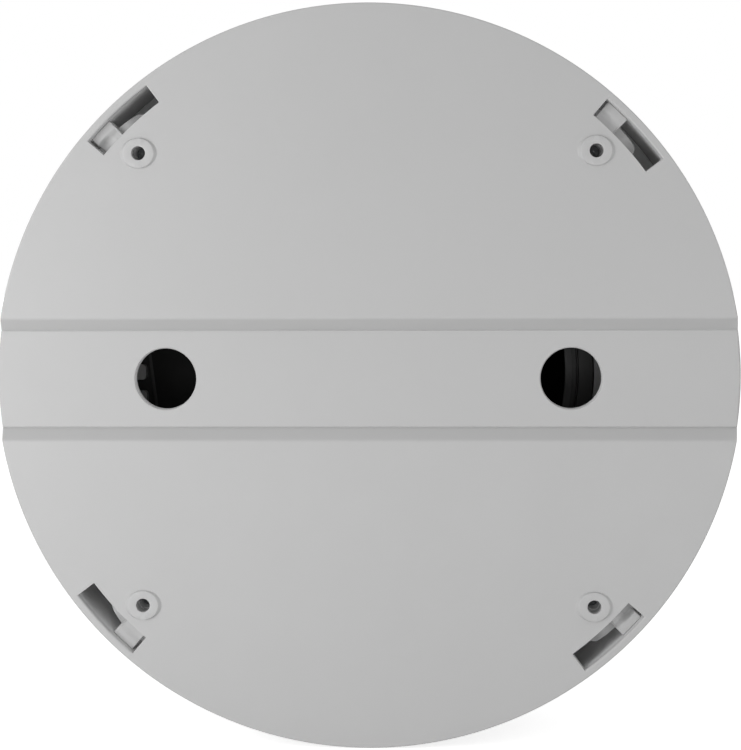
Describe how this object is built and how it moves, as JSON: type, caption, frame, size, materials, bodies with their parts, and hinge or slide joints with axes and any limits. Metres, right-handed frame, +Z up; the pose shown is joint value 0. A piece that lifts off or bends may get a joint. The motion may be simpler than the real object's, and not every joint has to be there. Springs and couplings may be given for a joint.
{
  "type": "smoke detector",
  "caption": "Round ceiling smoke detector locked in its bayonet mounting base, with a cable channel across the back, a turret with smoke inlets, a test button and a status light.",
  "frame": {"origin": "on the detector's axis, in the plane of the wall: the tops of the four stand-off bosses of the mounting base", "axes": "+Y along the detector's axis from the wall into the room; +X to the right and +Z up as seen from the wall side, with the cable channel along X"},
  "size_m": [0.12, 0.0565, 0.12],
  "materials": {
    "light_plastic": "fine satin moulding",
    "black_plastic": "satin",
    "plated_brass": "nickel plated",
    "steel": "zinc plated",
    "screen": "woven",
    "board": "solder resist",
    "brass": "polished",
    "lens": "clear red"
  },
  "bodies": {
    "base": {"mounting_base": "light_plastic", "terminal_leaf_1": "plated_brass", "terminal_leaf_2": "plated_brass", "terminal_leaf_3": "plated_brass", "terminal_leaf_4": "plated_brass", "wire_clamp_1": "plated_brass", "wire_clamp_2": "plated_brass", "wire_clamp_3": "plated_brass", "wire_clamp_4": "plated_brass", "terminal_screw_1": "steel", "terminal_screw_2": "steel", "terminal_screw_3": "steel", "terminal_screw_4": "steel"},
    "head": {"head_chassis": "light_plastic", "rear_cover": "black_plastic", "circuit_board": "board", "chamber_base": "black_plastic", "chamber_lid": "black_plastic", "front_cover": "light_plastic", "turret_cap": "light_plastic", "insect_screen": "screen", "infrared_emitter": "lens", "photodiode": "black_plastic", "head_contact_1": "plated_brass", "head_contact_2": "plated_brass", "head_contact_3": "plated_brass", "head_contact_4": "plated_brass", "cover_screw_1": "steel", "cover_screw_2": "steel", "cover_screw_3": "steel", "cover_screw_4": "steel", "alarm_relay": "black_plastic", "buffer_capacitor": "steel", "control_chip": "black_plastic", "sounder_case": "black_plastic", "piezo_disc": "brass", "piezo_support": "black_plastic", "status_light_pipe": "lens", "status_led": "lens", "test_switch": "black_plastic"},
    "button": {"test_button": "light_plastic", "switch_plunger": "black_plastic"}
  },
  "joints": [
    {"name": "bayonet_twist", "type": "hinge", "parent": "base", "child": "head", "pos_m": [0, 0, 0], "axis": [0, 1, 0], "range_deg": [0, 7.8]},
    {"name": "test_button_press", "type": "slide", "parent": "head", "child": "button", "axis": [0, -1, 0], "range_m": [0, 0.001], "stiffness_N_per_m": 1500}
  ]
}
